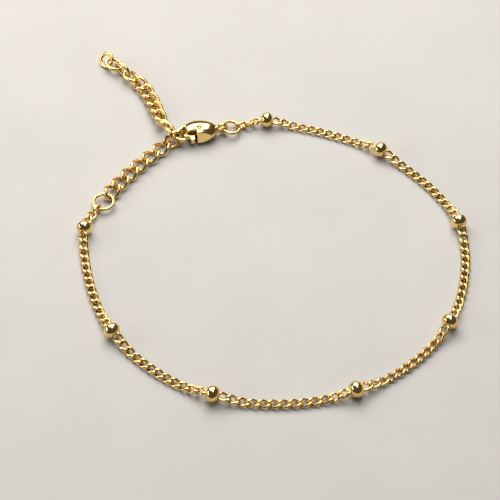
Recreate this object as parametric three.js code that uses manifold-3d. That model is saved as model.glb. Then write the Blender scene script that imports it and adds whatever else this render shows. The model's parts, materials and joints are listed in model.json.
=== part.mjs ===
// A gold-coloured bracelet: fine curb chain with round beads, a lobster clasp and an extender chain.
// It lies fastened in a loop on a flat surface at z = 0. Millimetres, +Z up, +Y away from the viewer.

import * as THREE from 'three';
import { mergeVertices } from 'three/addons/utils/BufferGeometryUtils.js';
import Module from 'manifold-3d';

const wasm = await Module();
wasm.setup();
const { degToRad, lerp, smoothstep } = THREE.MathUtils;

// Fine curb chain
const chainWire = 0.34;
const chainHalfWidth = 0.53;            // from a link's middle to the middle of its wire
const chainPitch = 1.46;                // aimed distance from link to link
const chainTwist = degToRad(50);        // turn of a link's two ends out of the flat
const uprightTurn = degToRad(90);       // turn of a link that stands on edge and holds a flat ring
const ringLinkHalfWidth = 0.6;          // such a link is wider
const ringLinkRest = 0.8;
const chainRest = 0.4;                  // height of the chain's middle where it lies flat
const fusedDepth = 0.1;                 // how deep neighbouring links of one stretch are fused
const chainRound = 0.52;                // radius of the round strand that the middle links make up

// Beads, each with a link soldered into both ends
const beadRadius = 1.275;
const beadHalfLength = 1.08;
const beadToEye = 1.74;                 // from a bead's middle to the middle of its soldered link
const eyeToLink = 1.16;                 // from that link's middle to the next link's middle
const beadSlope = 5.5;                  // distance over which the chain comes down from a bead

// Extender chain
const extenderWire = 0.55;
const extenderHalfLength = 1.62;
const extenderHalfWidth = 1.075;
const hookedEnd = 0.2;                  // distance along the loop of the last link before the hook
const tailPitch = 2.2;
const tailRingReach = 1.75;             // from the last link's middle to the end ring's middle

// Round rings, by the radius of the wire's middle line
const extenderRing = { radius: 1.6, wire: 0.46, height: 0.82, pitch: degToRad(-1) };
const claspRing = { radius: 1.4, wire: 0.46, height: 1.02, pitch: degToRad(9) };
const tailRing = { radius: 1.125, wire: 0.55, height: 1.08, roll: degToRad(-45) };
const endLinkPitch = 1.6;               // from link to link in the two short end stretches
const endLinkCount = 2;
const holdGap = 0.22;                   // play between a link and the ring that it holds

// Lobster clasp, in its own frame: x towards its eye, y towards the outside of the loop
const claspPlace = { x: -11.75, y: 24.15, turn: degToRad(11) };
const pod = { middle: [0.05, 0.35, 1.32], halfLength: 3.05, halfWidth: 2.25, halfThickness: 1.42, taper: 0.1 };
const podFrontFace = -2.15;             // where the body ends and only the hook goes on
const podWallEnd = -0.6;                // the front wall ends here, so the lever shows
const podOpenSide = -0.35;
const podLip = { y: -1.03, z: 2.44, lean: 0.35 };  // edge of the domed top; below it the wall leans out
const slotFloor = 0.7;
const slotRoof = 1.95;
const slotHubRadius = 0.95;
const claspEye = { place: [3.8, 0.35, 1.3], radius: 0.8, wire: 0.6 };
const leverThickness = 1.05;
const leverFloor = 0.8;
const leverHub = 0.8;
const rivet = { radius: 0.3, bottom: 0.2, top: 2.72, play: 0.08 };

// Places on the surface that the loop runs through, from the hooked end of the extender to the clasp
const loopPlaces = [
  { x: -17.8, y: 21.4 },
  { x: -22.5, y: 16.2 },
  { x: -26.7, y: 9.6 },
  { x: -29.3, y: 3.8, bead: 1 },
  { x: -23.85, y: -15.95, bead: 2 },
  { x: -8.8, y: -27.15, bead: 3 },
  { x: 11.8, y: -26.35, bead: 4 },
  { x: 26.2, y: -14.3, bead: 5 },
  { x: 29.3, y: 5.1, bead: 6 },
  { x: 17.85, y: 20.4, bead: 7 },
  { x: -0.65, y: 27.15, bead: 8 },
  { x: -6.9, y: 25.6 },
];

// Places of the free tail, from its third link to beyond its end ring
const tailPlaces = [
  { x: -18.5, y: 27.85 },
  { x: -20.1, y: 32.4 },
  { x: -22.0, y: 35.8 },
  { x: -24.4, y: 38.2 },
  { x: -26.6, y: 40.3 },
  { x: -29.2, y: 42.5 },
];

// The extender's links from the ring to the hook: height of the middle, slope and the turns of the ends
const extenderStances = [
  { z: 0.92, pitch: 3, near: 45, far: -80 },
  { z: 0.8, pitch: 3, near: 45, far: -45 },
  { z: 0.73, pitch: 1, near: 45, far: -45 },
  { z: 0.7, pitch: 0, near: 45, far: -45 },
  { z: 0.7, pitch: 0, near: 45, far: -45 },
  { z: 0.76, pitch: 0, near: 45, far: -45 },
];

// Links that lie askew round the clasp's hook, with the turns of their two ends, in degrees
const askewLinks = [
  { name: 'extender_link_7', x: -16.05, y: 22.64, z: 1.24, yaw: 29, pitch: 18, roll: 58, near: 0, far: 0 },
  { name: 'tail_link_1', x: -16.65, y: 23.85, z: 1.83, yaw: 102, pitch: -5, roll: -122, near: 45, far: -45 },
  { name: 'tail_link_2', x: -17.59, y: 25.9, z: 1.45, yaw: 122, pitch: -21, roll: 45, near: 45, far: -45 },
  { name: 'tail_link_3', x: -18.42, y: 27.99, z: 0.92, yaw: 110, pitch: 0, roll: 25, near: 45, far: -45 },
];

// The tail's links from the fourth on: height of the middle, slope, roll and the turns of the two ends
const tailStances = [
  { z: 0.89, pitch: -4, roll: 15, near: 45, far: -45 },
  { z: 0.78, pitch: 0, roll: 7, near: 45, far: -45 },
  { z: 0.72, pitch: 0, roll: 0, near: 45, far: -45 },
  { z: 0.72, pitch: 0, roll: 0, near: 45, far: -45 },
  { z: 0.92, pitch: 9, roll: 0, near: 45, far: 0 },
  { z: 1.4, pitch: 0, roll: 0, near: 90, far: 90 },
  { z: 1.14, pitch: -2, roll: 0, near: 0, far: 0 },
];

// The hook's middle line from the body round to its tip, with half its width and half its thickness
const hookSections = [
  { x: -1.2, y: 1.15, z: 1.32, width: 0.8, thickness: 1.0 },
  { x: -2.2, y: 1.25, z: 1.32, width: 0.7, thickness: 0.95 },
  { x: -3.1, y: 0.95, z: 1.32, width: 0.55, thickness: 0.78 },
  { x: -3.82, y: 0.15, z: 1.34, width: 0.42, thickness: 0.5 },
  { x: -3.88, y: -0.55, z: 1.37, width: 0.35, thickness: 0.35 },
  { x: -3.4, y: -1.08, z: 1.4, width: 0.31, thickness: 0.31 },
  { x: -2.5, y: -1.2, z: 1.4, width: 0.28, thickness: 0.28 },
];

const gold = new THREE.MeshStandardMaterial({ color: 0xe3b65a, roughness: 0.16, metalness: 1 });
const darkGold = new THREE.MeshStandardMaterial({ color: 0x8a6a2c, roughness: 0.3, metalness: 1 });

// A closed solid from a three.js geometry: seams and poles are merged and flat triangles dropped.
function solidOf(geometry) {
  const bare = geometry.clone();
  bare.deleteAttribute('normal');
  bare.deleteAttribute('uv');
  const merged = mergeVertices(bare, 1e-4);
  const corners = merged.index.array;
  const triangles = [];
  for (let i = 0; i < corners.length; i += 3) {
    const [a, b, c] = corners.subarray(i, i + 3);
    if (a !== b && b !== c && c !== a) triangles.push(a, b, c);
  }
  return new wasm.Manifold(new wasm.Mesh({
    numProp: 3,
    vertProperties: merged.attributes.position.array,
    triVerts: Uint32Array.from(triangles),
  }));
}

function geometryOf(solid) {
  const mesh = solid.getMesh();
  const geometry = new THREE.BufferGeometry();
  geometry.setAttribute('position', new THREE.BufferAttribute(mesh.vertProperties, 3));
  geometry.setIndex(new THREE.BufferAttribute(mesh.triVerts, 1));
  geometry.computeVertexNormals();
  return geometry;
}

function joined(geometries) {
  return geometries.map(solidOf).reduce((whole, next) => whole.add(next));
}

function named(name, geometry, material = gold) {
  const mesh = new THREE.Mesh(geometry, material);
  mesh.name = name;
  return mesh;
}

// Moves every vertex of a geometry to the place that a function gives for it.
function reshaped(geometry, move) {
  const position = geometry.attributes.position;
  const vertex = new THREE.Vector3();
  for (let i = 0; i < position.count; i += 1) {
    move(vertex.fromBufferAttribute(position, i));
    position.setXYZ(i, vertex.x, vertex.y, vertex.z);
  }
  return geometry;
}

// The middle line of a chain link along x: an oval whose plane turns from its near end to its far end.
class LinkLine extends THREE.Curve {
  constructor(halfLength, halfWidth, nearTurn, farTurn) {
    super();
    Object.assign(this, { halfLength, halfWidth, nearTurn, farTurn });
  }

  getPoint(t, target = new THREE.Vector3()) {
    const angle = 2 * Math.PI * t;
    const turn = lerp(this.nearTurn, this.farTurn, (1 + Math.cos(angle)) / 2);
    const across = this.halfWidth * Math.sin(angle);
    return target.set(this.halfLength * Math.cos(angle), across * Math.cos(turn), across * Math.sin(turn));
  }
}

function linkGeometry(halfLength, halfWidth, wire, nearTurn, farTurn) {
  const line = new LinkLine(halfLength, halfWidth, nearTurn, farTurn);
  return new THREE.TubeGeometry(line, 10, wire / 2, 5, true);
}

function chainLink(pitch, nearTurn = chainTwist, farTurn = -chainTwist, halfWidth = chainHalfWidth) {
  const halfLength = (pitch + chainWire - fusedDepth) / 2;
  return linkGeometry(halfLength, halfWidth, chainWire, nearTurn, farTurn);
}

function ringGeometry({ radius, wire }) {
  return new THREE.TorusGeometry(radius, wire / 2, 5, 14);
}

// A smooth route through places on the surface, measured by the distance along it.
function routeThrough(places) {
  const route = new THREE.CatmullRomCurve3(places.map(({ x, y }) => new THREE.Vector3(x, y, 0)));
  const steps = 200;
  route.arcLengthDivisions = steps * (places.length - 1);
  const lengths = route.getLengths();
  return {
    length: lengths.at(-1),
    distanceTo: (index) => lengths[steps * index],
    pointAt: (distance) => route.getPointAt(distance / lengths.at(-1)),
  };
}

const loop = routeThrough(loopPlaces);
const tail = routeThrough(tailPlaces);
const beadDistances = loopPlaces.flatMap((place, index) => (place.bead ? [loop.distanceTo(index)] : []));
const firstBead = beadDistances[0];
const lastBead = beadDistances.at(-1);

// Distance from an end bead to the last link of its short end stretch, and on to the ring's middle.
const toEndLink = beadToEye + eyeToLink + endLinkPitch * (endLinkCount - 1);
const endLinkReach = (endLinkPitch + chainWire - fusedDepth) / 2 - chainWire / 2 - holdGap;
const toRing = ({ radius, wire }) => toEndLink + endLinkReach - wire / 2 + radius;
const extenderRingDistance = firstBead - toRing(extenderRing);
const claspRingDistance = lastBead + toRing(claspRing);

// Height of the chain's middle: it rises to the middle of each bead and a little to the two rings.
function chainHeight(distance) {
  const rises = beadDistances.map((bead) => ({ at: bead, top: beadRadius, slope: beadSlope }));
  rises.push({ at: firstBead - toEndLink, top: ringLinkRest, slope: 2 });
  rises.push({ at: lastBead + toEndLink, top: ringLinkRest, slope: 2 });
  const heights = rises.map(({ at, top, slope }) => {
    return lerp(top, chainRest, smoothstep(Math.abs(distance - at), 0, slope));
  });
  return Math.max(...heights);
}

// The frame at a distance along a route: x forward, y to the left, z up.
function frameOn(route, distance, heightAt) {
  const step = 0.05;
  const behind = route.pointAt(distance - step).setZ(heightAt(distance - step));
  const ahead = route.pointAt(distance + step).setZ(heightAt(distance + step));
  const forward = ahead.clone().sub(behind).normalize();
  const left = new THREE.Vector3(0, 0, 1).cross(forward).normalize();
  const up = forward.clone().cross(left);
  const middle = behind.add(ahead).multiplyScalar(0.5);
  return new THREE.Matrix4().makeBasis(forward, left, up).setPosition(middle);
}

const onChain = (distance) => frameOn(loop, distance, chainHeight);
const levelOn = (route, distance, height) => frameOn(route, distance, () => height);

// A frame given by its place and by its turns: yaw about z, then slope, then roll about its own length.
function askewFrame({ x, y, z, yaw = 0, pitch = 0, roll = 0 }) {
  const turns = new THREE.Euler(degToRad(roll), -degToRad(pitch), degToRad(yaw), 'ZYX');
  return new THREE.Matrix4().makeRotationFromEuler(turns).setPosition(x, y, z);
}

function placed(mesh, frame) {
  frame.decompose(mesh.position, mesh.quaternion, mesh.scale);
  return mesh;
}

// A bead with the links soldered into its two ends, as one solid in the bead's own frame.
function makeBead(number, distance) {
  const profile = Array.from({ length: 8 }, (_, i) => {
    const angle = (Math.PI * i) / 7;
    return new THREE.Vector2(beadRadius * Math.sin(angle), -beadHalfLength * Math.cos(angle));
  });
  const ball = new THREE.LatheGeometry(profile, 12).rotateZ(-Math.PI / 2);
  const frame = levelOn(loop, distance, beadRadius);
  const toBead = frame.clone().invert();
  const eyes = [-beadToEye, beadToEye].map((offset) => {
    return chainLink(chainPitch).applyMatrix4(onChain(distance + offset).premultiply(toBead));
  });
  return placed(named(`bead_${number}`, geometryOf(joined([ball, ...eyes]))), frame);
}

// A round bar along the loop, from one distance to another, that follows the chain's height.
function strandGeometry(from, to) {
  return reshaped(new THREE.CylinderGeometry(chainRound, chainRound, 1, 8, 12), (vertex) => {
    const frame = onChain(lerp(from, to, vertex.y + 0.5));
    vertex.set(0, -vertex.x, Math.max(vertex.z, -chainRest)).applyMatrix4(frame);
  });
}

// A stretch of fine chain between two beads: the end links hold the beads' links, the rest is one strand.
function makeChain(number, fromBead, toBead) {
  const start = fromBead + beadToEye + eyeToLink;
  const end = toBead - beadToEye - eyeToLink;
  const pitch = (end - start) / Math.round((end - start) / chainPitch);
  const links = [start, end].map((distance) => chainLink(pitch).applyMatrix4(onChain(distance)));
  const strand = strandGeometry(start + pitch / 2, end - pitch / 2);
  return named(`chain_${number}`, geometryOf(joined([strand, ...links])));
}

// A short stretch from an end bead to a ring; its last link stands upright where it holds the ring.
function makeEndChain(name, bead, direction) {
  const links = Array.from({ length: endLinkCount }, (_, i) => {
    const holdsRing = i === endLinkCount - 1;
    const nearTurn = direction > 0 ? chainTwist : 0;
    const farTurn = direction > 0 ? 0 : -chainTwist;
    const turns = holdsRing ? [uprightTurn, uprightTurn] : [nearTurn, farTurn];
    const halfWidth = holdsRing ? ringLinkHalfWidth : chainHalfWidth;
    const distance = bead + direction * (beadToEye + eyeToLink + i * endLinkPitch);
    return chainLink(endLinkPitch, ...turns, halfWidth).applyMatrix4(onChain(distance));
  });
  return named(name, geometryOf(joined(links)));
}

function makeRings() {
  const extender = placed(
    named('extender_ring', geometryOf(solidOf(ringGeometry(extenderRing)))),
    levelOn(loop, extenderRingDistance, extenderRing.height),
  );
  extender.rotateY(-extenderRing.pitch);
  const clasp = placed(
    named('clasp_ring', geometryOf(solidOf(ringGeometry(claspRing)))),
    levelOn(loop, claspRingDistance, claspRing.height),
  );
  clasp.rotateY(-claspRing.pitch);
  const end = placed(
    named('tail_ring', geometryOf(solidOf(ringGeometry(tailRing)))),
    levelOn(tail, tailPitch * tailStances.length + tailRingReach, tailRing.height),
  );
  end.rotateX(tailRing.roll);
  return [extender, clasp, end];
}

function extenderLink({ near, far }) {
  const line = [extenderHalfLength, extenderHalfWidth, extenderWire, degToRad(near), degToRad(far)];
  return geometryOf(solidOf(linkGeometry(...line)));
}

function linkOn(route, distance, stance, name) {
  const mesh = placed(named(name, extenderLink(stance)), levelOn(route, distance, stance.z));
  return mesh.rotateY(-degToRad(stance.pitch)).rotateX(degToRad(stance.roll ?? 0));
}

// The extender follows the loop from its ring to the hook, against the loop's direction.
function makeExtender() {
  const ringReach = extenderRing.radius + extenderHalfLength - extenderWire / 2 - extenderRing.wire / 2;
  const first = extenderRingDistance - ringReach + holdGap;
  const pitch = (first - hookedEnd) / (extenderStances.length - 1);
  return extenderStances.map((stance, i) => {
    return linkOn(loop, first - i * pitch, stance, `extender_link_${i + 1}`);
  });
}

function makeAskewLinks() {
  return askewLinks.map((row) => placed(named(row.name, extenderLink(row)), askewFrame(row)));
}

function makeTail() {
  return tailStances.map((stance, i) => linkOn(tail, (i + 1) * tailPitch, stance, `tail_link_${i + 4}`));
}

// The clasp's rounded body: an egg that narrows towards the eye, flat where it rests.
function podGeometry() {
  const [x, y, z] = pod.middle;
  return reshaped(new THREE.SphereGeometry(1, 20, 12).rotateZ(-Math.PI / 2), (vertex) => {
    const size = 1 - pod.taper * vertex.x;
    vertex.set(
      x + pod.halfLength * vertex.x,
      y + pod.halfWidth * size * vertex.y,
      Math.max(z + pod.halfThickness * size * vertex.z, 0),
    );
  });
}

// The hook: a round bar bent along its middle line, thinner towards its tip.
function hookGeometry() {
  const line = new THREE.CatmullRomCurve3(hookSections.map(({ x, y, z }) => new THREE.Vector3(x, y, z)));
  const sizes = new THREE.CatmullRomCurve3(
    hookSections.map(({ width, thickness }) => new THREE.Vector3(width, thickness, 0)),
  );
  return reshaped(new THREE.CylinderGeometry(1, 1, 1, 10, 12), (vertex) => {
    const t = THREE.MathUtils.clamp(vertex.y + 0.5, 0, 1);
    const middle = line.getPoint(t);
    const along = line.getTangent(t);
    const across = new THREE.Vector3(along.y, -along.x, 0).normalize();
    const size = sizes.getPoint(t);
    const rise = new THREE.Vector3(0, 0, size.y * vertex.z);
    across.multiplyScalar(size.x * vertex.x);
    vertex.copy(middle).add(rise).add(across);
  });
}

// A flat plate of a given outline between two heights.
function plate(outline, floor, roof) {
  const shape = new THREE.Shape(outline.map(([x, y]) => new THREE.Vector2(x, y)));
  const options = { depth: roof - floor, bevelEnabled: false };
  return new THREE.ExtrudeGeometry(shape, options).translate(0, 0, floor);
}

function upright(radius, floor, roof, sides = 12) {
  const post = new THREE.CylinderGeometry(radius, radius, roof - floor, sides);
  return post.rotateX(Math.PI / 2).translate(0, 0, (floor + roof) / 2);
}

function makeClaspBody() {
  const eye = new THREE.TorusGeometry(claspEye.radius, claspEye.wire / 2, 8, 16)
    .rotateX(Math.PI / 2)
    .translate(...claspEye.place);
  const past = 4;
  const front = plate([[-past, -past], [podFrontFace, -past], [podFrontFace, past], [-past, past]], -1, past);
  const openSide = plate(
    [[-past, -past], [podWallEnd, -past], [podWallEnd, podOpenSide], [-past, podOpenSide]],
    -1,
    past,
  );
  const slot = plate(
    [[0, -slotHubRadius], [-2.4, -1.4], [-2.4, 0.5], [-1.2, 0.65], [0, slotHubRadius]].reverse(),
    slotFloor,
    slotRoof,
  );
  const beyondWall = new THREE.BoxGeometry(2 * past, past, 2 * past)
    .translate(0, -past / 2, 0)
    .rotateX(-podLip.lean)
    .translate(0, podLip.y, podLip.z);
  const egg = [front, openSide, beyondWall].reduce(
    (rest, cut) => rest.subtract(solidOf(cut)),
    solidOf(podGeometry()),
  );
  const body = egg
    .add(solidOf(hookGeometry()))
    .subtract(solidOf(slot))
    .subtract(solidOf(upright(slotHubRadius, slotFloor, slotRoof)))
    .subtract(solidOf(upright(rivet.radius + rivet.play, -1, past)))
    .add(solidOf(eye));
  return named('clasp_body', geometryOf(body));
}

// The lever: a round hub on the rivet, a tapered arm to the hook's tip and a small thumb tab.
function makeClaspLever() {
  const shape = new THREE.Shape();
  shape.moveTo(-2.62, -0.5);
  shape.lineTo(-2.62, -0.78);
  shape.lineTo(-1.78, -0.88);
  shape.lineTo(-1.72, -1.62);
  shape.lineTo(-1.5, -1.78);
  shape.lineTo(-1.12, -1.74);
  shape.lineTo(-1.0, -1.6);
  shape.lineTo(-0.95, -0.9);
  shape.lineTo(-0.45, -0.66);
  shape.absarc(0, 0, leverHub, degToRad(-124), degToRad(124), false);
  shape.lineTo(-1.5, 0.02);
  const hole = new THREE.Path();
  hole.absarc(0, 0, rivet.radius + rivet.play, 0, 2 * Math.PI, true);
  shape.holes.push(hole);
  const options = { depth: leverThickness, bevelEnabled: false, curveSegments: 10 };
  const lever = new THREE.ExtrudeGeometry(shape, options).translate(0, 0, leverFloor);
  return named('clasp_lever', geometryOf(solidOf(lever)));
}

function makeClasp() {
  const clasp = new THREE.Group();
  clasp.position.set(claspPlace.x, claspPlace.y, 0);
  clasp.rotation.z = claspPlace.turn;
  const pin = solidOf(upright(rivet.radius, rivet.bottom, rivet.top, 10));
  clasp.add(makeClaspBody(), makeClaspLever(), named('clasp_rivet', geometryOf(pin), darkGold));
  return clasp;
}

const bracelet = new THREE.Group();
beadDistances.forEach((distance, i) => bracelet.add(makeBead(i + 1, distance)));
beadDistances.slice(1).forEach((distance, i) => bracelet.add(makeChain(i + 1, beadDistances[i], distance)));
bracelet.add(makeEndChain('chain_start', firstBead, -1), makeEndChain('chain_end', lastBead, 1));
bracelet.add(...makeRings(), ...makeExtender(), ...makeAskewLinks(), ...makeTail(), makeClasp());

// The origin is on the surface, under the middle of the whole jewel.
const extent = new THREE.Box3().setFromObject(bracelet, true);
const middle = extent.getCenter(new THREE.Vector3());
bracelet.position.set(-middle.x, -middle.y, -extent.min.z);

const jewel = new THREE.Group();
jewel.add(bracelet);
export default jewel;
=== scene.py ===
# %% [markdown]
# A gold-coloured bracelet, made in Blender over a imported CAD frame.
# The frame says where every piece lies. This script makes the fine surface: real curb links instead of
# plain strands, round polished beads, a soft-edged cast clasp, and gold that is not the same all over.
# All shapes are worked out in millimetres with numpy and turned into metres when a mesh is made.

# %% load the frame
import json
import math

import bpy
import numpy as np
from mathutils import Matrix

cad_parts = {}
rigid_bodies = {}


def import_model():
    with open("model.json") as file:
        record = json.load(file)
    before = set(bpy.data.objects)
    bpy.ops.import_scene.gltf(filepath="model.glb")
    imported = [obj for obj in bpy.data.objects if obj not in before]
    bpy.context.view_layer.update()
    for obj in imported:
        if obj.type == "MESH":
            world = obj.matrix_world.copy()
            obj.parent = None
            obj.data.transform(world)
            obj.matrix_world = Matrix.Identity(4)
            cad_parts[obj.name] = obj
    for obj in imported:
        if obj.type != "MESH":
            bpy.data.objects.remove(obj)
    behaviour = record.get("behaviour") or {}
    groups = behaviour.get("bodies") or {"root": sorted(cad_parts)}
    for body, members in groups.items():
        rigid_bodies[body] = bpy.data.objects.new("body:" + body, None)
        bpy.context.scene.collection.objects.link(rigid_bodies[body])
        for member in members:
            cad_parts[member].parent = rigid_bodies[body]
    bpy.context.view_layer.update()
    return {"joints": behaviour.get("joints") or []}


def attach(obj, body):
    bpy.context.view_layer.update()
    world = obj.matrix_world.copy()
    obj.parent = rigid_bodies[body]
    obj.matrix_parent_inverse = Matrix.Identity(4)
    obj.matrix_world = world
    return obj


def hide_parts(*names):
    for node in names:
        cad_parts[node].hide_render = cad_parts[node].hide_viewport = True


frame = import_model()

# %% [markdown]
# The sizes of the wire, the links, the beads and the rings, in millimetres. The places are points on the
# surface that the bracelet lies on, listed once round the loop, and once along the free tail.

# %% sizes and places
MM = 0.001
BRACELET = "bracelet"
LEVER = "lever"

CHAIN_WIRE = 0.42
CHAIN_HALF_WIDTH = 0.56
CHAIN_PITCH = 1.46
CHAIN_TWIST = math.radians(50)
CHAIN_REST = 0.4
CHAIN_PLAY = 0.03
BEAD_RADIUS = 1.275
BEAD_HALF_LENGTH = 1.12
BEAD_TO_EYE = 1.74
EYE_TO_LINK = 1.33
BEAD_SLOPE = 5.5
RING_LINK_HALF_WIDTH = 0.6
RING_LINK_REST = 0.8
RING_LINK_SLOPE = 2.0
BEAD_TO_RING_LINK = 4.5

EXTENDER_WIRE = 0.6
EXTENDER_HALF_LENGTH = 1.62
EXTENDER_HALF_WIDTH = 1.075
HOLD_GAP = 0.22  # play between the first wide link and its ring
RING_HOLD = 0.505  # half the wire of both, where the link reaches through the ring
HOOKED_END = 0.2  # distance along the loop of the last link before the hook
TAIL_PITCH = 2.2
TAIL_RING_REACH = 1.75

EXTENDER_RING = {"radius": 1.6, "wire": 0.52, "height": 0.82, "pitch": -1, "to_bead": 6.4}
CLASP_RING = {"radius": 1.4, "wire": 0.52, "height": 1.02, "pitch": 9, "to_bead": 6.2}
TAIL_RING = {"radius": 1.125, "wire": 0.58, "height": 1.08, "roll": -45}
CLASP_PLACE = np.array([-11.75, 24.15])
CLASP_TURN = math.radians(11)

BEAD_PLACES = [
    (-29.3, 3.8), (-23.85, -15.95), (-8.8, -27.15), (11.8, -26.35),
    (26.2, -14.3), (29.3, 5.1), (17.85, 20.4), (-0.65, 27.15),
]
LOOP_START = [(-17.8, 21.4), (-22.5, 16.2), (-26.7, 9.6)]
LOOP_END = [(-6.9, 25.6)]
TAIL_PLACES = [(-18.5, 27.85), (-20.1, 32.4), (-22.0, 35.8), (-24.4, 38.2), (-26.6, 40.3), (-29.2, 42.5)]

# height of the link's middle, its slope, its roll, and the turns of its near and far end
EXTENDER_STANCES = [
    (0.92, 3, 0, 45, -80),
    (0.8, 3, 0, 45, -45),
    (0.73, 1, 0, 45, -45),
    (0.7, 0, 0, 45, -45),
    (0.7, 0, 0, 45, -45),
    (0.76, 0, 0, 45, -45),
]
TAIL_STANCES = [
    (0.89, -4, 15, 45, -45),
    (0.78, 0, 7, 45, -45),
    (0.72, 0, 0, 45, -45),
    (0.72, 0, 0, 45, -45),
    (0.92, 9, 0, 45, 0),
    (1.4, 0, 0, 90, 90),
    (1.14, -2, 0, 0, 0),
]
# name: place x, y, z, then yaw, slope and roll, then the turns of the near and far end
ASKEW_LINKS = {
    "extender_link_7": (-16.05, 22.64, 1.24, 29, 18, 58, 0, 0),
    "tail_link_1": (-16.65, 23.85, 1.83, 102, -5, -122, 45, -45),
    "tail_link_2": (-17.59, 25.9, 1.45, 122, -21, 45, 45, -45),
    "tail_link_3": (-18.42, 27.99, 0.92, 110, 0, 25, 45, -45),
}

ASKEW_TAIL_LINKS = sum(name.startswith("tail") for name in ASKEW_LINKS)

hinge_place = np.array(frame["joints"][0]["pos_m"][:2]) / MM
ORIGIN = np.append(CLASP_PLACE - hinge_place, 0)
print("the frame's origin lies at", ORIGIN.round(3), "mm in the list of places")

# %% [markdown]
# A route is a smooth curve through the listed places. Between two places it is a cubic whose end slopes
# come from the neighbours, weighted by the square root of the spacing, so it never overshoots.
# `frames_on` gives a small set of axes at any distance along it: forward, left and up.


# %% routes
def route_through(places, steps=200):
    """Points of a centripetal Catmull-Rom curve, their distances along it and those of the places."""
    p = np.array(places, float)
    p = np.vstack([2 * p[0] - p[1], p, 2 * p[-1] - p[-2]])
    gap = np.linalg.norm(np.diff(p, axis=0), axis=1)[:, None] ** 0.5
    step = np.diff(p, axis=0) / gap
    bend = (p[2:] - p[:-2]) / (gap[:-1] + gap[1:])
    slope = step[:-1] - bend + step[1:]
    start, end = p[1:-2, None], p[2:-1, None]
    leave = (slope[:-1] * gap[1:-1])[:, None]
    arrive = (slope[1:] * gap[1:-1])[:, None]
    t = np.linspace(0, 1, steps, endpoint=False)[None, :, None]
    cubic = start + leave * t
    cubic = cubic + (3 * (end - start) - 2 * leave - arrive) * t**2
    cubic = cubic + (2 * (start - end) + leave + arrive) * t**3
    points = np.vstack([cubic.reshape(-1, 2), p[-2]])
    distance = np.append(0, np.cumsum(np.linalg.norm(np.diff(points, axis=0), axis=1)))
    return {"points": points, "distance": distance, "places": distance[::steps]}


def points_on(route, distance, height):
    """Places on the route at the given distances, with their heights."""
    flat = [np.interp(distance, route["distance"], route["points"][:, axis]) for axis in (0, 1)]
    return np.stack([*flat, height], axis=-1)


def frames_on(route, distance, height_at, step=0.05):
    """4x4 frames: x forward along the route and its slope, y level to the left, z up from both."""
    distance = np.atleast_1d(np.asarray(distance, float))
    behind = points_on(route, distance - step, height_at(distance - step))
    ahead = points_on(route, distance + step, height_at(distance + step))
    forward = ahead - behind
    forward = forward / np.linalg.norm(forward, axis=1, keepdims=True)
    left = np.cross([0, 0, 1], forward)
    left = left / np.linalg.norm(left, axis=1, keepdims=True)
    frames = np.tile(np.eye(4), (len(distance), 1, 1))
    frames[:, :3, 0] = forward
    frames[:, :3, 1] = left
    frames[:, :3, 2] = np.cross(forward, left)
    frames[:, :3, 3] = (behind + ahead) / 2
    return frames


def turned(axis, degrees):
    """4x4 rotation about one of the axes x, y and z; a positive slope about y lifts the x end."""
    angle = math.radians(-degrees if axis == "y" else degrees)
    first, second = {"x": (1, 2), "y": (2, 0), "z": (0, 1)}[axis]
    matrix = np.eye(4)
    matrix[first, first] = matrix[second, second] = math.cos(angle)
    matrix[first, second] = -math.sin(angle)
    matrix[second, first] = math.sin(angle)
    return matrix


def moved(x, y, z):
    """4x4 matrix that moves to a place."""
    matrix = np.eye(4)
    matrix[:3, 3] = (x, y, z)
    return matrix


def level(height):
    """A height that is the same all along a route."""
    return lambda distance: np.full_like(distance, height)


loop = route_through(LOOP_START + BEAD_PLACES + LOOP_END)
tail = route_through(TAIL_PLACES)
first_place = len(LOOP_START)
bead_distance = loop["places"][first_place:first_place + len(BEAD_PLACES)]
extender_ring_at = bead_distance[0] - EXTENDER_RING["to_bead"]
clasp_ring_at = bead_distance[-1] + CLASP_RING["to_bead"]


def chain_height(distance):
    """The chain's middle: up to each bead's middle and to the two ring links, smoothly down between."""
    ring_links = [bead_distance[0] - BEAD_TO_RING_LINK, bead_distance[-1] + BEAD_TO_RING_LINK]
    rises = [(at, BEAD_RADIUS, BEAD_SLOPE) for at in bead_distance]
    rises += [(at, RING_LINK_REST, RING_LINK_SLOPE) for at in ring_links]
    heights = []
    for at, top, slope in rises:
        away = np.clip(np.abs(distance - at) / slope, 0, 1)
        heights.append(top + (CHAIN_REST - top) * away**2 * (3 - 2 * away))
    return np.max(heights, axis=0)


print("loop", round(float(loop["distance"][-1]), 1), "mm, beads every",
      np.diff(bead_distance).mean().round(2), "mm")

# %% [markdown]
# Meshes come from two-parameter grids. `skin` joins a grid of rings into a closed surface, either as a
# loop (links and rings) or with a point at each end (beads and rivets). Every surface is tested by its
# signed volume, so that its faces point outwards.


# %% mesh helpers
def skin(rings, is_loop):
    """Vertices and faces over a grid of closed rings; the ends meet, or close on a middle point each."""
    count, sides, _ = rings.shape
    index = np.arange(count * sides).reshape(count, sides)
    here = index if is_loop else index[:-1]
    there = np.roll(index, -1, axis=0)[:len(here)]
    quads = np.stack([here, there, np.roll(there, -1, axis=1), np.roll(here, -1, axis=1)], axis=-1)
    vertices = rings.reshape(-1, 3)
    faces = quads.reshape(-1, 4).tolist()
    if not is_loop:
        start, end = count * sides, count * sides + 1
        vertices = np.vstack([vertices, rings[0].mean(axis=0), rings[-1].mean(axis=0)])
        faces += np.stack([np.full(sides, start), index[0], np.roll(index[0], -1)], axis=1).tolist()
        faces += np.stack([np.full(sides, end), np.roll(index[-1], -1), index[-1]], axis=1).tolist()
    return outward(vertices, faces)


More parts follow.
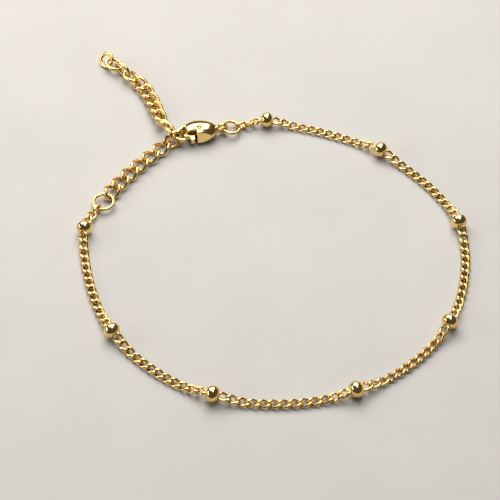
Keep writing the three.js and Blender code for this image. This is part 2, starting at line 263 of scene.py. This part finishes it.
def outward(vertices, faces):
    """Turns all faces round if the signed volume, summed over fans of triangles, is negative."""
    fans = [(face[0], *pair) for face in faces for pair in zip(face[1:-1], face[2:])]
    corners = vertices[np.array(fans)]
    volume = np.einsum("ij,ij->", corners[:, 0], np.cross(corners[:, 1], corners[:, 2]))
    if volume < 0:
        faces = [face[::-1] for face in faces]
    return vertices, faces


def repeated(vertices, faces, frames):
    """The same surface once in each frame, as one list of vertices and one of faces."""
    copies = np.einsum("nij,vj->nvi", frames[:, :3, :3], vertices) + frames[:, None, :3, 3]
    shift = len(vertices)
    starts = [shift * copy for copy in range(len(frames))]
    all_faces = [[corner + start for corner in face] for start in starts for face in faces]
    return copies.reshape(-1, 3), all_faces


def together(*surfaces):
    """Several surfaces as one list of vertices and one list of faces."""
    vertices, faces, shift = [], [], 0
    for points, corners in surfaces:
        vertices.append(points)
        faces += [[corner + shift for corner in face] for face in corners]
        shift += len(points)
    return np.vstack(vertices), faces


def new_mesh(name, vertices, faces):
    """A smooth-shaded mesh data block."""
    mesh = bpy.data.meshes.new(name)
    mesh.from_pydata(vertices.tolist(), [], faces)
    mesh.polygons.foreach_set("use_smooth", np.ones(len(mesh.polygons), bool))
    mesh.update()
    return mesh


def new_piece(name, surface, material, nodes, body=BRACELET):
    """An object of the bracelet: its surface in millimetres goes to the frame's metres."""
    vertices, faces = surface
    piece = bpy.data.objects.new(name, new_mesh(name, (vertices - ORIGIN) * MM, faces))
    bpy.context.scene.collection.objects.link(piece)
    piece.data.materials.append(material)
    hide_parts(*nodes)
    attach(piece, body)
    return piece


# %% [markdown]
# Gold is a metal, so its colour is the colour of its reflections. Two node groups keep it from looking
# like plastic: `Gold tone` lets the colour drift between a paler and a deeper gold, and paints shade
# into the places where links touch and other covered hollows by darkening the colour there, and `Polish`
# gives fine tumbling marks, which break up the gloss and bend the highlights a little.


# %% gold materials
def new_group(name, inputs, outputs):
    """An empty shader node group with named sockets: {name: (kind, default)} in, {name: kind} out."""
    group = bpy.data.node_groups.new(name, "ShaderNodeTree")
    for label, (kind, default) in inputs.items():
        socket = group.interface.new_socket(label, in_out="INPUT", socket_type=kind)
        if default is not None:
            socket.default_value = default
    for label, kind in outputs.items():
        group.interface.new_socket(label, in_out="OUTPUT", socket_type=kind)
    return group, group.nodes.new("NodeGroupInput"), group.nodes.new("NodeGroupOutput")


def gold_tone_group():
    """Colour: a slow noise mixes two golds, and covered places are mixed towards a dark crevice colour,
    which is painted shade.
    """
    group, given, result = new_group(
        "Gold tone",
        {
            "Vector": ("NodeSocketVector", None),
            "Bright": ("NodeSocketColor", (0.9, 0.64, 0.27, 1)),
            "Deep": ("NodeSocketColor", (0.72, 0.46, 0.15, 1)),
            "Crevice": ("NodeSocketColor", (0.3, 0.17, 0.05, 1)),
            "Scale": ("NodeSocketFloat", 900.0),
            "Crevice size": ("NodeSocketFloat", 0.0004),
        },
        {"Color": "NodeSocketColor"},
    )
    nodes, links = group.nodes, group.links
    noise = nodes.new("ShaderNodeTexNoise")
    noise.inputs["Detail"].default_value = 3.0
    links.new(given.outputs["Vector"], noise.inputs["Vector"])
    links.new(given.outputs["Scale"], noise.inputs["Scale"])
    drift = nodes.new("ShaderNodeMapRange")
    drift.inputs["From Min"].default_value = 0.35
    drift.inputs["From Max"].default_value = 0.7
    links.new(noise.outputs["Fac"], drift.inputs["Value"])
    tone = nodes.new("ShaderNodeMix")
    tone.data_type = "RGBA"
    links.new(drift.outputs["Result"], tone.inputs["Factor"])
    links.new(given.outputs["Bright"], tone.inputs["A"])
    links.new(given.outputs["Deep"], tone.inputs["B"])
    # painted shade: where ambient occlusion finds nearby surfaces, the colour is mixed towards the dark
    # crevice colour
    cover = nodes.new("ShaderNodeAmbientOcclusion")
    cover.samples = 8
    links.new(given.outputs["Crevice size"], cover.inputs["Distance"])
    open_part = nodes.new("ShaderNodeMapRange")
    open_part.inputs["From Min"].default_value = 0.15
    open_part.inputs["From Max"].default_value = 0.75
    links.new(cover.outputs["AO"], open_part.inputs["Value"])
    painted_shade_mix = nodes.new("ShaderNodeMix")
    painted_shade_mix.data_type = "RGBA"
    links.new(open_part.outputs["Result"], painted_shade_mix.inputs["Factor"])
    links.new(given.outputs["Crevice"], painted_shade_mix.inputs["A"])
    links.new(tone.outputs["Result"], painted_shade_mix.inputs["B"])
    links.new(painted_shade_mix.outputs["Result"], result.inputs["Color"])
    return group


def polish_group():
    """Roughness: a base value plus noise times its range. Normal: a shallow bump of finer noise."""
    group, given, result = new_group(
        "Polish",
        {
            "Vector": ("NodeSocketVector", None),
            "Base": ("NodeSocketFloat", 0.12),
            "Range": ("NodeSocketFloat", 0.1),
            "Scale": ("NodeSocketFloat", 4000.0),
            "Depth": ("NodeSocketFloat", 0.00001),
        },
        {"Roughness": "NodeSocketFloat", "Normal": "NodeSocketVector"},
    )
    nodes, links = group.nodes, group.links
    marks = nodes.new("ShaderNodeTexNoise")
    marks.inputs["Detail"].default_value = 4.0
    marks.inputs["Roughness"].default_value = 0.6
    links.new(given.outputs["Vector"], marks.inputs["Vector"])
    links.new(given.outputs["Scale"], marks.inputs["Scale"])
    rough = nodes.new("ShaderNodeMath")
    rough.operation = "MULTIPLY_ADD"
    links.new(marks.outputs["Fac"], rough.inputs[0])
    links.new(given.outputs["Range"], rough.inputs[1])
    links.new(given.outputs["Base"], rough.inputs[2])
    bump = nodes.new("ShaderNodeBump")
    bump.inputs["Strength"].default_value = 0.25
    links.new(marks.outputs["Fac"], bump.inputs["Height"])
    links.new(given.outputs["Depth"], bump.inputs["Distance"])
    links.new(rough.outputs["Value"], result.inputs["Roughness"])
    links.new(bump.outputs["Normal"], result.inputs["Normal"])
    return group


GOLD_TONE = gold_tone_group()
POLISH = polish_group()


def gold(name, tone, polish):
    """A polished metal whose colour and gloss come from the two groups, with their inputs set here."""
    material = bpy.data.materials.new(name)
    material.use_nodes = True
    nodes, links = material.node_tree.nodes, material.node_tree.links
    shader = nodes["Principled BSDF"]
    shader.inputs["Metallic"].default_value = 1.0
    place = nodes.new("ShaderNodeTexCoord")
    made = {}
    for group, settings in ((GOLD_TONE, tone), (POLISH, polish)):
        node = nodes.new("ShaderNodeGroup")
        node.node_tree = group
        links.new(place.outputs["Object"], node.inputs["Vector"])
        for label, value in settings.items():
            node.inputs[label].default_value = value
        made[group.name] = node
    links.new(made["Gold tone"].outputs["Color"], shader.inputs["Base Color"])
    links.new(made["Polish"].outputs["Roughness"], shader.inputs["Roughness"])
    links.new(made["Polish"].outputs["Normal"], shader.inputs["Normal"])
    return material


BRIGHT_GOLD = (0.95, 0.68, 0.27, 1)
DEEP_GOLD = (0.82, 0.52, 0.16, 1)
bead_gold = gold("bead gold", {"Bright": BRIGHT_GOLD, "Deep": (0.88, 0.59, 0.2, 1), "Scale": 500.0},
                 {"Base": 0.05, "Range": 0.08, "Depth": 0.000004})
chain_gold = gold("chain gold", {"Bright": BRIGHT_GOLD, "Deep": DEEP_GOLD}, {"Base": 0.1, "Range": 0.14})
link_gold = gold("link gold", {"Bright": BRIGHT_GOLD, "Deep": DEEP_GOLD, "Scale": 600.0},
                 {"Base": 0.1, "Range": 0.14})
# the clasp's painted crevice shade reaches further into its hollows than on the chain
clasp_gold = gold("clasp gold", {"Bright": BRIGHT_GOLD, "Deep": (0.87, 0.58, 0.19, 1), "Scale": 350.0,
                                 "Crevice size": 0.0007},
                  {"Base": 0.08, "Range": 0.12, "Scale": 2500.0})
rivet_gold = gold("rivet gold", {"Bright": (0.5, 0.32, 0.1, 1), "Deep": (0.3, 0.18, 0.05, 1)},
                  {"Base": 0.2, "Range": 0.2})
print("materials:", [m.name for m in bpy.data.materials if m.name.endswith("gold")])

# %% [markdown]
# A curb link is an oval of round wire whose two ends are turned out of the flat in opposite ways, so
# that the links lie side by side. Its middle line is worked out from one angle, and a circle is carried
# along it. A jump ring is the same line with equal half-length and half-width and no turn.


# %% links and rings
def link_surface(half_length, half_width, wire, near, far, around=48, sides=14):
    """A tube round an oval: the oval's plane turns from near to far as the cosine along its length."""
    angle = np.linspace(0, 2 * np.pi, around, endpoint=False)
    turn = near + (far - near) * (1 + np.cos(angle)) / 2
    across = half_width * np.sin(angle)
    line = np.stack([half_length * np.cos(angle), across * np.cos(turn), across * np.sin(turn)], axis=1)
    along = np.roll(line, -1, axis=0) - np.roll(line, 1, axis=0)
    along = along / np.linalg.norm(along, axis=1, keepdims=True)
    out = line - along * np.einsum("ij,ij->i", line, along)[:, None]
    out = out / np.linalg.norm(out, axis=1, keepdims=True)
    side = np.cross(along, out)
    circle = np.linspace(0, 2 * np.pi, sides, endpoint=False)[None, :, None]
    rings = line[:, None] + wire / 2 * (np.cos(circle) * out[:, None] + np.sin(circle) * side[:, None])
    return skin(rings, is_loop=True)


def chain_link(pitch, near=CHAIN_TWIST, far=-CHAIN_TWIST, half_width=CHAIN_HALF_WIDTH):
    """A fine link that is just long enough to hold its neighbours at the given pitch."""
    half_length = (pitch + CHAIN_WIRE + CHAIN_PLAY) / 2
    return link_surface(half_length, half_width, CHAIN_WIRE, near, far)


def extender_link(near, far):
    """A wide link of the extender, with the turns of its ends in degrees."""
    return link_surface(EXTENDER_HALF_LENGTH, EXTENDER_HALF_WIDTH, EXTENDER_WIRE,
                        math.radians(near), math.radians(far), around=64, sides=18)


def ring_surface(ring):
    """A round jump ring."""
    return link_surface(ring["radius"], ring["radius"], ring["wire"], 0, 0, around=72, sides=18)


# %% [markdown]
# Each bead is a ball, a little shorter along the chain than it is wide, with a small drilled mouth at
# each end. The links that are soldered into its mouths belong to it.

# %% beads
BEAD_SIDES = 64
MOUTH_RADIUS = 0.42
MOUTH_DEPTH = 0.12


def ball_surface():
    """A turned profile: half an oval round the chain's line, which dips in at the two mouths."""
    angle = np.linspace(0, np.pi, 49)
    radius = BEAD_RADIUS * np.sin(angle)
    length = -BEAD_HALF_LENGTH * np.cos(angle)
    dip = MOUTH_DEPTH * np.exp(-((radius / MOUTH_RADIUS) ** 4))
    length = length - np.sign(length) * dip
    inner = slice(1, -1)
    round_it = np.linspace(0, 2 * np.pi, BEAD_SIDES, endpoint=False)
    ring = np.stack([np.zeros(BEAD_SIDES), np.cos(round_it), np.sin(round_it)], axis=1)
    rings = radius[inner, None, None] * ring[None]
    rings[:, :, 0] = length[inner, None]
    return skin(rings, is_loop=False)


ball = ball_surface()
eye = chain_link(CHAIN_PITCH)
for number, distance in enumerate(bead_distance, start=1):
    ball_here = repeated(*ball, frames_on(loop, distance, level(BEAD_RADIUS)))
    eyes_here = repeated(*eye, frames_on(loop, distance + BEAD_TO_EYE * np.array([-1, 1]), chain_height))
    new_piece(f"polished_bead_{number}", together(ball_here, eyes_here), bead_gold,
              [f"bead_{number}"])
print("beads:", len(bead_distance))

# %% [markdown]
# The fine chain between two beads has as many links as fit best at the usual pitch. One link is made
# and copied into every frame along the route, so a whole stretch is one array and one mesh.

# %% fine chain
link_total = 0
for number, (from_bead, to_bead) in enumerate(zip(bead_distance[:-1], bead_distance[1:]), start=1):
    start = from_bead + BEAD_TO_EYE + EYE_TO_LINK
    end = to_bead - BEAD_TO_EYE - EYE_TO_LINK
    steps = round((end - start) / CHAIN_PITCH)
    places = np.linspace(start, end, steps + 1)
    link = chain_link((end - start) / steps)
    stretch = repeated(*link, frames_on(loop, places, chain_height))
    new_piece(f"fine_chain_{number}", stretch, chain_gold, [f"chain_{number}"])
    link_total += steps + 1

for name, bead, side in (("chain_start", bead_distance[0], -1), ("chain_end", bead_distance[-1], 1)):
    turns = (CHAIN_TWIST, 0) if side > 0 else (0, -CHAIN_TWIST)
    near_bead = frames_on(loop, bead + side * (BEAD_TO_EYE + EYE_TO_LINK), chain_height)
    at_ring = frames_on(loop, bead + side * BEAD_TO_RING_LINK, chain_height)
    upright = chain_link(CHAIN_PITCH, np.pi / 2, np.pi / 2, RING_LINK_HALF_WIDTH)
    pair = together(repeated(*chain_link(CHAIN_PITCH, *turns), near_bead), repeated(*upright, at_ring))
    new_piece(f"fine_{name}", pair, chain_gold, [name])
print("fine links:", link_total)

# %% [markdown]
# The extender is made of the same kind of link, but wider. Most follow the route. Those at the hook lie
# askew, one over the other, because the hook lifts the link that it holds.

# %% extender, tail and rings
ring_reach = EXTENDER_RING["radius"] + EXTENDER_HALF_LENGTH - RING_HOLD
first_link_at = extender_ring_at - ring_reach + HOLD_GAP
extender_pitch = (first_link_at - HOOKED_END) / (len(EXTENDER_STANCES) - 1)
for number, (height, slope, roll, near, far) in enumerate(EXTENDER_STANCES):
    stance = frames_on(loop, first_link_at - number * extender_pitch, level(height))
    stance = stance @ turned("y", slope) @ turned("x", roll)
    new_piece(f"curb_link_{number + 1}", repeated(*extender_link(near, far), stance), link_gold,
              [f"extender_link_{number + 1}"])

for node, (x, y, z, yaw, slope, roll, near, far) in ASKEW_LINKS.items():
    stance = moved(x, y, z) @ turned("z", yaw) @ turned("y", slope) @ turned("x", roll)
    new_piece(f"askew_{node}", repeated(*extender_link(near, far), stance[None]), link_gold,
              [node])

for number, (height, slope, roll, near, far) in enumerate(TAIL_STANCES, start=1):
    stance = frames_on(tail, number * TAIL_PITCH, level(height))
    stance = stance @ turned("y", slope) @ turned("x", roll)
    label = number + ASKEW_TAIL_LINKS
    new_piece(f"tail_curb_{label}", repeated(*extender_link(near, far), stance), link_gold,
              [f"tail_link_{label}"])

tail_ring_at = TAIL_PITCH * len(TAIL_STANCES) + TAIL_RING_REACH
ring_places = {
    "extender_ring": (EXTENDER_RING, loop, extender_ring_at),
    "clasp_ring": (CLASP_RING, loop, clasp_ring_at),
    "tail_ring": (TAIL_RING, tail, tail_ring_at),
}
for node, (ring, route, distance) in ring_places.items():
    stance = frames_on(route, distance, level(ring["height"]))
    stance = stance @ turned("y", ring.get("pitch", 0)) @ turned("x", ring.get("roll", 0))
    new_piece(f"jump_{node}", repeated(*ring_surface(ring), stance), link_gold, [node])
wide_links = len(EXTENDER_STANCES) + len(ASKEW_LINKS) + len(TAIL_STANCES)
print("wide links:", wide_links, "rings:", len(ring_places))

# %% [markdown]
# The clasp is cast metal, so all its edges are soft. A few clean surfaces are laid over each other and
# cut with boolean modifiers, then remeshed into small even faces, which fuses them, and smoothed, which
# rounds every edge as tumbling does. This is done at a scale of one unit to the millimetre, because
# remeshing has a smallest step, and the result is scaled down afterwards.

# %% clasp tools
POD = {"x": 0.05, "y": 0.35, "z": 1.32, "length": 3.05, "width": 2.25, "thickness": 1.42, "taper": 0.1}
POD_FRONT_FACE = -2.15
POD_WALL_END = -0.6
POD_OPEN_SIDE = -0.35
POD_LIP = {"y": -1.03, "z": 2.44, "lean": 20}  # edge of the domed top; the wall below leans out
SLOT_FLOOR, SLOT_ROOF = 0.7, 1.95
SLOT_HUB = 0.95
CLASP_EYE = {"x": 3.8, "y": 0.35, "z": 1.3, "radius": 0.8, "wire": 0.6}
LEVER_FLOOR, LEVER_ROOF = 0.8, 1.85
LEVER_HUB = 0.8
RIVET_RADIUS, RIVET_BOTTOM, RIVET_TOP = 0.3, 0.2, 2.72
RIVET_DOME = 0.12
RIVET_HOLE = 0.38
CAST_STEP = 0.05
FAR = 6.0  # well past the clasp on every side

# the hook's middle line: place x, y, z, then half its width and half its thickness
HOOK_SECTIONS = np.array([
    (-1.2, 1.15, 1.32, 0.8, 1.0),
    (-2.2, 1.25, 1.32, 0.7, 0.95),
    (-3.1, 0.95, 1.32, 0.55, 0.78),
    (-3.82, 0.15, 1.34, 0.42, 0.5),
    (-3.88, -0.55, 1.37, 0.35, 0.35),
    (-3.4, -1.08, 1.4, 0.31, 0.31),
    (-2.5, -1.2, 1.4, 0.28, 0.28),
])
clasp_frame = moved(*CLASP_PLACE, 0) @ turned("z", math.degrees(CLASP_TURN))


def in_clasp(surface):
    """A surface made in the clasp's own frame, put where the clasp lies."""
    return repeated(*surface, clasp_frame[None])


def work_object(name, surface):
    """A throwaway object at one unit to the millimetre."""
    piece = bpy.data.objects.new(name, new_mesh(name, *surface))
    bpy.context.scene.collection.objects.link(piece)
    return piece


def cast(base, cuts=(), smoothing=4):
    """Cuts a surface, remeshes it, which also fuses what overlaps, and smooths it. Returns a surface."""
    piece = work_object("work", base)
    tools = [work_object("tool", surface) for surface in cuts]
    for tool in tools:
        modifier = piece.modifiers.new("cut", "BOOLEAN")
        modifier.operation = "DIFFERENCE"
        modifier.solver = "EXACT"
        modifier.object = tool
    remesh = piece.modifiers.new("even faces", "REMESH")
    remesh.mode = "VOXEL"
    remesh.voxel_size = CAST_STEP
    soften = piece.modifiers.new("soft edges", "SMOOTH")
    soften.factor = 0.5
    soften.iterations = smoothing
    bpy.context.view_layer.update()
    shape = piece.evaluated_get(bpy.context.evaluated_depsgraph_get()).to_mesh()
    vertices = np.empty(len(shape.vertices) * 3)
    shape.vertices.foreach_get("co", vertices)
    faces = [list(face.vertices) for face in shape.polygons]
    for used in [piece, *tools]:
        bpy.data.objects.remove(used)
    return vertices.reshape(-1, 3), faces


def plate(outline, floor, roof):
    """A flat plate: the outline at two heights, with one face on each and walls between."""
    outline = np.array(outline, float)
    count = len(outline)
    low = np.column_stack([outline, np.full(count, floor)])
    high = np.column_stack([outline, np.full(count, roof)])
    here = np.arange(count)
    after = np.roll(here, -1)
    walls = np.stack([here, after, after + count, here + count], axis=1).tolist()
    return outward(np.vstack([low, high]), walls + [here[::-1].tolist(), (here + count).tolist()])


def post(radius, floor, roof, sides=48):
    """A round upright post at the pivot."""
    angle = np.linspace(0, 2 * np.pi, sides, endpoint=False)
    return plate(radius * np.stack([np.cos(angle), np.sin(angle)], axis=1), floor, roof)


# %% [markdown]
# The body is an egg, flat underneath, that narrows towards the eye. Its front face, the bulge under the
# lip and the corner over the lever are cut away, and a slot for the lever runs through it. The hook is a
# round bar bent along its middle line, and the eye is a ring that stands on edge.


# %% clasp body
def egg_surface():
    """Rings of a sphere stretched along the clasp, scaled by the taper and stopped at the floor."""
    angle = np.linspace(0, np.pi, 66)[1:-1]
    round_it = np.linspace(0, 2 * np.pi, 96, endpoint=False)
    along = -np.cos(angle)[:, None] + np.zeros_like(round_it)
    size = np.sin(angle)[:, None] * (1 - POD["taper"] * along)
    rings = np.stack([
        POD["x"] + POD["length"] * along,
        POD["y"] + POD["width"] * size * np.cos(round_it),
        np.maximum(POD["z"] + POD["thickness"] * size * np.sin(round_it), 0),
    ], axis=-1)
    return skin(rings, is_loop=False)


def hook_surface(steps=60, sides=32):
    """A bar whose oval section changes along the line through the listed sections."""
    knots = np.arange(len(HOOK_SECTIONS))
    fine = np.linspace(0, knots[-1], steps)
    plan = route_through(HOOK_SECTIONS[:, :2])
    at = np.interp(fine, knots, plan["places"])
    height, width, thickness = (np.interp(fine, knots, HOOK_SECTIONS[:, k]) for k in (2, 3, 4))
    line = points_on(plan, at, height)
    along = np.gradient(line[:, :2], axis=0)
    along = along / np.linalg.norm(along, axis=1, keepdims=True)
    across = np.stack([along[:, 1], -along[:, 0], np.zeros(steps)], axis=1)
    round_it = np.linspace(0, 2 * np.pi, sides, endpoint=False)
    rings = line[:, None] + (width[:, None] * np.cos(round_it))[..., None] * across[:, None]
    rings[:, :, 2] += thickness[:, None] * np.sin(round_it)
    return skin(rings, is_loop=False)


eye_stance = moved(CLASP_EYE["x"], CLASP_EYE["y"], CLASP_EYE["z"]) @ turned("x", 90)
clasp_eye = repeated(*ring_surface(CLASP_EYE), eye_stance[None])


def box(x, y, floor=-FAR, roof=FAR):
    """A block between two values of x and two of y."""
    return plate([(x[0], y[0]), (x[1], y[0]), (x[1], y[1]), (x[0], y[1])], floor, roof)


front_cut = box((-FAR, POD_FRONT_FACE), (-FAR, FAR))
side_cut = box((-FAR, POD_WALL_END), (-FAR, POD_OPEN_SIDE))
wall_stance = moved(0, POD_LIP["y"], POD_LIP["z"]) @ turned("x", -POD_LIP["lean"])
wall_cut = repeated(*box((-FAR, FAR), (-FAR, 0)), wall_stance[None])
slot_outline = [(0, -SLOT_HUB), (0, SLOT_HUB), (-1.2, 0.65), (-2.4, 0.5), (-2.4, -1.4)]
slot_cut = plate(slot_outline, SLOT_FLOOR, SLOT_ROOF)
hub_cut = post(SLOT_HUB, SLOT_FLOOR, SLOT_ROOF)
rivet_cut = post(RIVET_HOLE, -FAR, FAR)

egg = cast(egg_surface(), [front_cut, side_cut, wall_cut], smoothing=3)
solid_body = cast(together(egg, hook_surface(), clasp_eye))
slotted_body = cast(solid_body, [slot_cut], smoothing=1)
body = cast(slotted_body, [hub_cut, rivet_cut])
new_piece("cast_clasp_body", in_clasp(body), clasp_gold, ["clasp_body"])
print("clasp body:", len(body[1]), "faces")

# %% [markdown]
# The lever is a flat casting with a round hub, a tapered arm that meets the hook's tip, and a thumb tab
# that sticks out at the front. The rivet through its hub is a short pin with domed ends.

# %% lever and rivet
hub_angle = np.radians(np.linspace(-124, 124, 40))
hub = LEVER_HUB * np.stack([np.cos(hub_angle), np.sin(hub_angle)], axis=1)
arm_and_tab = [
    (-1.5, 0.02), (-2.62, -0.5), (-2.62, -0.78), (-1.78, -0.88), (-1.72, -1.62), (-1.5, -1.78),
    (-1.12, -1.74), (-1.0, -1.6), (-0.95, -0.9),
]
lever_outline = np.vstack([hub, arm_and_tab])
lever = cast(plate(lever_outline, LEVER_FLOOR, LEVER_ROOF), [rivet_cut])
new_piece("cast_clasp_lever", in_clasp(lever), clasp_gold, ["clasp_lever"], LEVER)


def rivet_surface(sides=40):
    """A turned pin: its radius falls off towards both ends along a quarter oval."""
    angle = np.linspace(0.05, np.pi / 2, 12)
    rise = RIVET_DOME * (1 - np.cos(angle))
    low = np.stack([RIVET_RADIUS * np.sin(angle), RIVET_BOTTOM + rise], axis=1)
    high = np.stack([low[::-1, 0], RIVET_TOP - (low[::-1, 1] - RIVET_BOTTOM)], axis=1)
    profile = np.vstack([low, high])
    round_it = np.linspace(0, 2 * np.pi, sides, endpoint=False)
    rings = np.empty((len(profile), sides, 3))
    rings[:, :, 0] = profile[:, :1] * np.cos(round_it)
    rings[:, :, 1] = profile[:, :1] * np.sin(round_it)
    rings[:, :, 2] = profile[:, 1:]
    return skin(rings, is_loop=False)


new_piece("clasp_pin", in_clasp(rivet_surface()), rivet_gold, ["clasp_rivet"])
print("lever:", len(lever[1]), "faces")

# %% [markdown]
# A pale floor and soft studio light. Polished metal shows its surroundings, so the lamps are large and
# stand above and behind the bracelet, and the side towards the camera stays dim: tops of beads and links
# shine, and the faces turned to the camera go to a deep olive gold.


# %% floor, lights and camera
FLOOR_HALF_SIZE = 1.5


def new_floor():
    """A pale matt plane with a very slight mottle."""
    half = FLOOR_HALF_SIZE
    corners = np.array([(-half, -half, 0), (half, -half, 0), (half, half, 0), (-half, half, 0)])
    floor = bpy.data.objects.new("floor", new_mesh("floor", corners, [[0, 1, 2, 3]]))
    bpy.context.scene.collection.objects.link(floor)
    material = bpy.data.materials.new("pale floor")
    material.use_nodes = True
    nodes, links = material.node_tree.nodes, material.node_tree.links
    shader = nodes["Principled BSDF"]
    shader.inputs["Roughness"].default_value = 0.7
    place = nodes.new("ShaderNodeTexCoord")
    mottle = nodes.new("ShaderNodeTexNoise")
    mottle.inputs["Scale"].default_value = 60.0
    shade = nodes.new("ShaderNodeMix")
    shade.data_type = "RGBA"
    shade.inputs["A"].default_value = (0.5, 0.49, 0.47, 1)
    shade.inputs["B"].default_value = (0.56, 0.55, 0.53, 1)
    links.new(place.outputs["Object"], mottle.inputs["Vector"])
    links.new(mottle.outputs["Fac"], shade.inputs["Factor"])
    links.new(shade.outputs["Result"], shader.inputs["Base Color"])
    floor.data.materials.append(material)


def new_lamp(name, place, aim, size, power, color):
    """A soft square lamp that faces a point."""
    data = bpy.data.lights.new(name, "AREA")
    data.shape = "RECTANGLE"
    data.size, data.size_y = size
    data.energy = power
    data.color = color
    lamp = bpy.data.objects.new(name, data)
    towards = np.array(aim) - np.array(place)
    distance = np.linalg.norm(towards)
    tilt = math.acos(-towards[2] / distance)
    heading = math.atan2(towards[1], towards[0]) - np.pi / 2
    lamp.location = place
    lamp.rotation_euler = (tilt, 0, heading)
    bpy.context.scene.collection.objects.link(lamp)


new_floor()
WARM = (1.0, 0.95, 0.88)
COOL = (0.92, 0.96, 1.0)
new_lamp("back softbox", (-0.06, 0.27, 0.33), (0, 0, 0), (0.5, 0.34), 3.0, WARM)
new_lamp("overhead softbox", (0.05, 0.02, 0.5), (0, 0, 0), (0.22, 0.16), 0.6, COOL)
new_lamp("left strip", (-0.4, -0.02, 0.16), (0, 0, 0), (0.3, 0.06), 0.5, WARM)

world = bpy.data.worlds.new("studio")
bpy.context.scene.world = world
world.use_nodes = True
sky = world.node_tree.nodes["Background"].inputs
sky["Color"].default_value = (0.5, 0.5, 0.52, 1)
sky["Strength"].default_value = 0.16

CAMERA_PLACE = np.array([-3.45, -146.22, 181.07])
CAMERA_PITCH = 51
LENS = 108
camera_data = bpy.data.cameras.new("camera")
camera_data.sensor_width = 36
camera_data.lens = LENS
camera_data.clip_start = 0.01
camera = bpy.data.objects.new("camera", camera_data)
camera.location = (CAMERA_PLACE - ORIGIN) * MM
camera.rotation_euler = (math.radians(90 - CAMERA_PITCH), 0, 0)
bpy.context.scene.collection.objects.link(camera)
bpy.context.scene.camera = camera
bpy.context.scene.view_settings.view_transform = "Standard"
print("camera", [round(v, 3) for v in camera.location])
